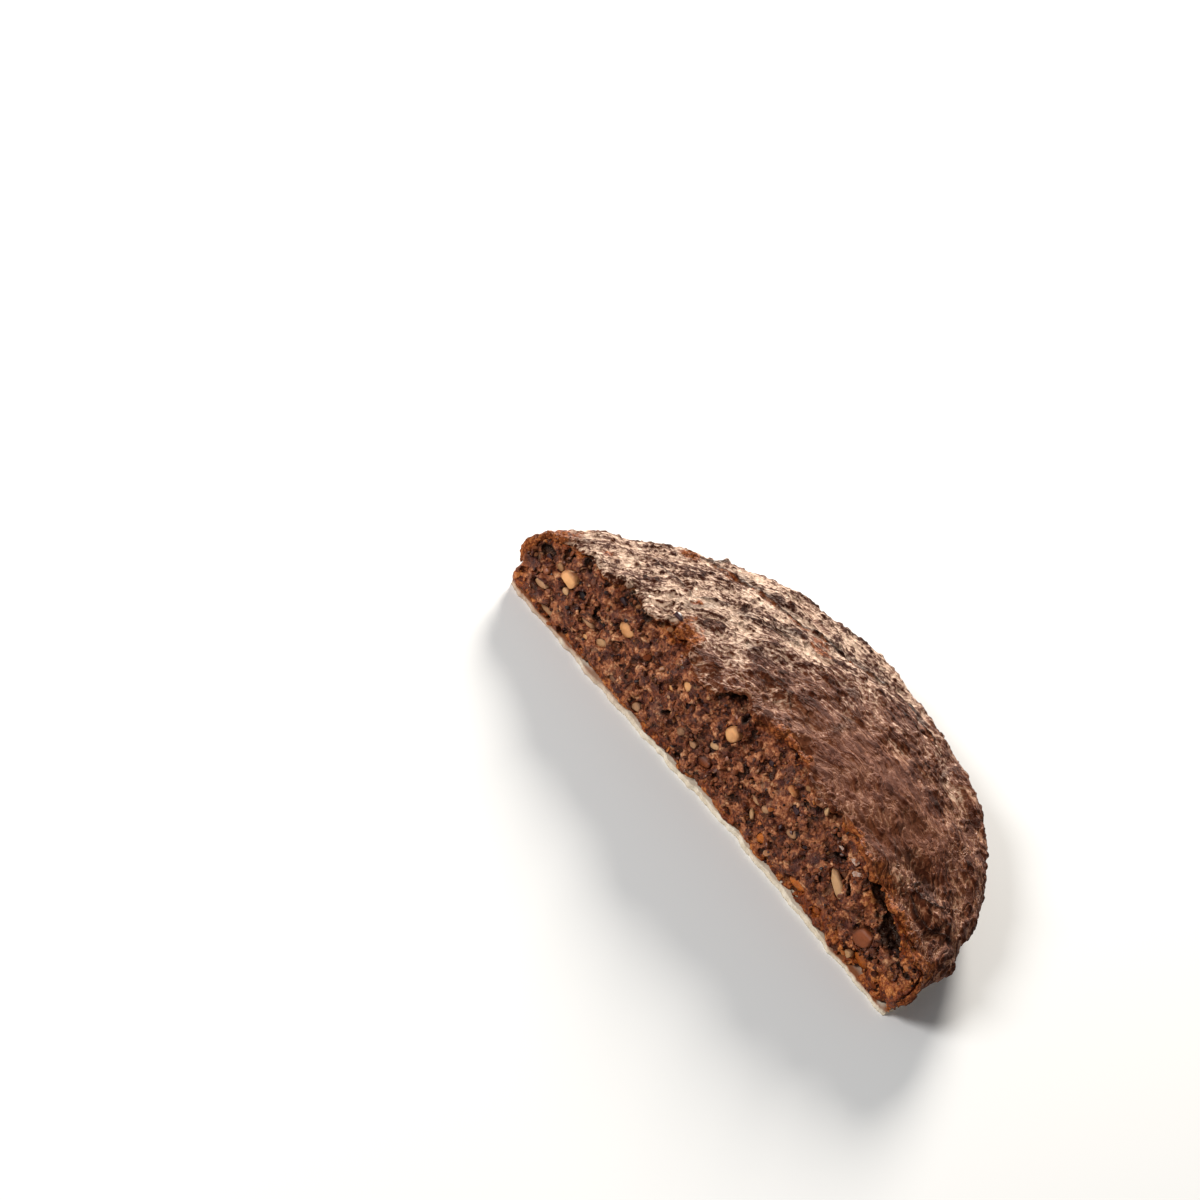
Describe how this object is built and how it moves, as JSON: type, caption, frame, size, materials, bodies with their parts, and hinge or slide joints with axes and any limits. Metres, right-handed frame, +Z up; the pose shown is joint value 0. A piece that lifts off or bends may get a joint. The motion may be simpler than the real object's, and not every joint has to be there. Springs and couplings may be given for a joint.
{
  "type": "half lebkuchen",
  "caption": "Half of a round lebkuchen: a low brown dome of nut dough on a pale wafer, broken across its middle so that the nutty crumb shows.",
  "frame": {"origin": "under the middle of the half's bounding box, on the surface it lies on", "axes": "+X along the broken face, +Y from the broken face to the round back, +Z up, out of the dome"},
  "size_m": [0.0948, 0.0466, 0.017],
  "materials": {
    "crust": "baked brown skin, satin, finely wrinkled",
    "crumb": "moist broken nut crumb, grainy, with small glints",
    "nut": "smooth cut nut, satin",
    "wafer": "matt, dry and fine-pored"
  },
  "bodies": {
    "root": {"dough": "crust", "wafer": "wafer"}
  },
  "joints": []
}
